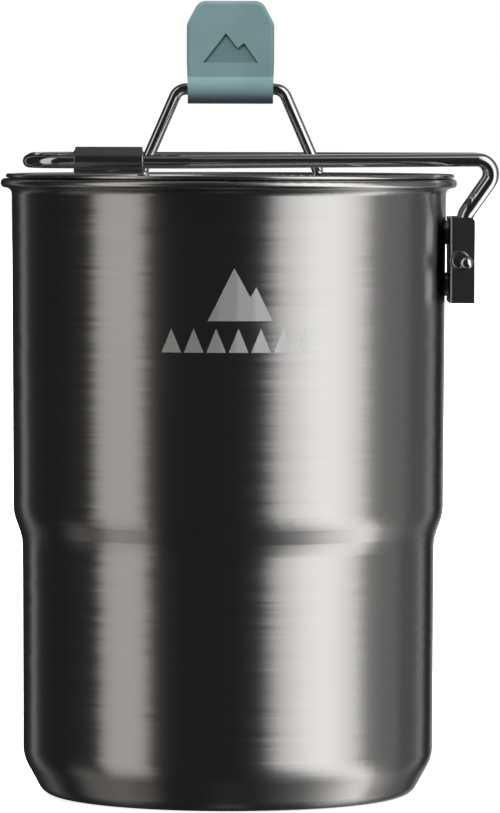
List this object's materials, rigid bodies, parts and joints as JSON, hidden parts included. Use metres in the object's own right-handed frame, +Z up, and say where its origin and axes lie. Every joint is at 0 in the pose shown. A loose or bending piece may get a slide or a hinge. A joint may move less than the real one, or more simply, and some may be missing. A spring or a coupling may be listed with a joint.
{
  "type": "cooking pot set",
  "caption": "Tall stepped steel camping pot with a fold-over locking wire handle, a lid lifted by a wire bail with a soft grip, and nesting insulated cups inside.",
  "frame": {"origin": "centre of the pot's flat base, on the surface it stands on", "axes": "+Z up along the pot's axis; +X towards the handle bracket; +Y completes a right-handed frame"},
  "size_m": [0.1119, 0.1028, 0.1789],
  "materials": {
    "pot_steel": "fine brushing round the wall, polished rim",
    "bracket_steel": "satin",
    "wire_steel": "bright polished",
    "sleeve_steel": "satin",
    "lid_steel": "satin with a polished edge",
    "grip_silicone": "matt moulded silicone",
    "cup_outer": "matt moulded",
    "cup_inner": "satin moulded"
  },
  "bodies": {
    "pot": {"pot_body": "pot_steel", "handle_bracket": "bracket_steel"},
    "handle": {"handle_wire": "wire_steel"},
    "sleeve_front": {"handle_sleeve_front": "sleeve_steel"},
    "sleeve_rear": {"handle_sleeve_rear": "sleeve_steel"},
    "lid": {"lid_panel": "lid_steel", "bail_strap_left": "lid_steel", "bail_strap_right": "lid_steel"},
    "bail": {"lid_bail": "wire_steel", "bail_grip": "grip_silicone"},
    "lower_cup": {"lower_cup_shell": "cup_outer", "lower_cup_liner": "cup_inner"},
    "upper_cup": {"upper_cup_shell": "cup_outer", "upper_cup_liner": "cup_inner"}
  },
  "joints": [
    {"name": "handle_swing", "type": "hinge", "parent": "pot", "child": "handle", "pos_m": [0.0532, 0, 0.1203], "axis": [0, 1, 0], "range_deg": [0, 172]},
    {"name": "sleeve_front_slide", "type": "slide", "parent": "handle", "child": "sleeve_front", "axis": [1, 0, 0], "range_m": [-0.001, 0.006]},
    {"name": "sleeve_rear_slide", "type": "slide", "parent": "handle", "child": "sleeve_rear", "axis": [1, 0, 0], "range_m": [-0.0003, 0.0068]},
    {"name": "lid_lift", "type": "slide", "parent": "pot", "child": "lid", "axis": [0, 0, 1], "range_m": [0, 0.0345]},
    {"name": "bail_swing", "type": "hinge", "parent": "lid", "child": "bail", "pos_m": [0, 0, 0.137], "axis": [1, 0, 0], "range_deg": [-58, 58]},
    {"name": "lower_cup_lift", "type": "slide", "parent": "pot", "child": "lower_cup", "axis": [0, 0, 1], "range_m": [0, 0.0185]},
    {"name": "upper_cup_lift", "type": "slide", "parent": "lower_cup", "child": "upper_cup", "axis": [0, 0, 1], "range_m": [0, 0.0185]}
  ],
  "couplings": [
    {"joint": "lid_lift", "follows": "handle_swing", "m_per_rad": 0.01146}
  ]
}
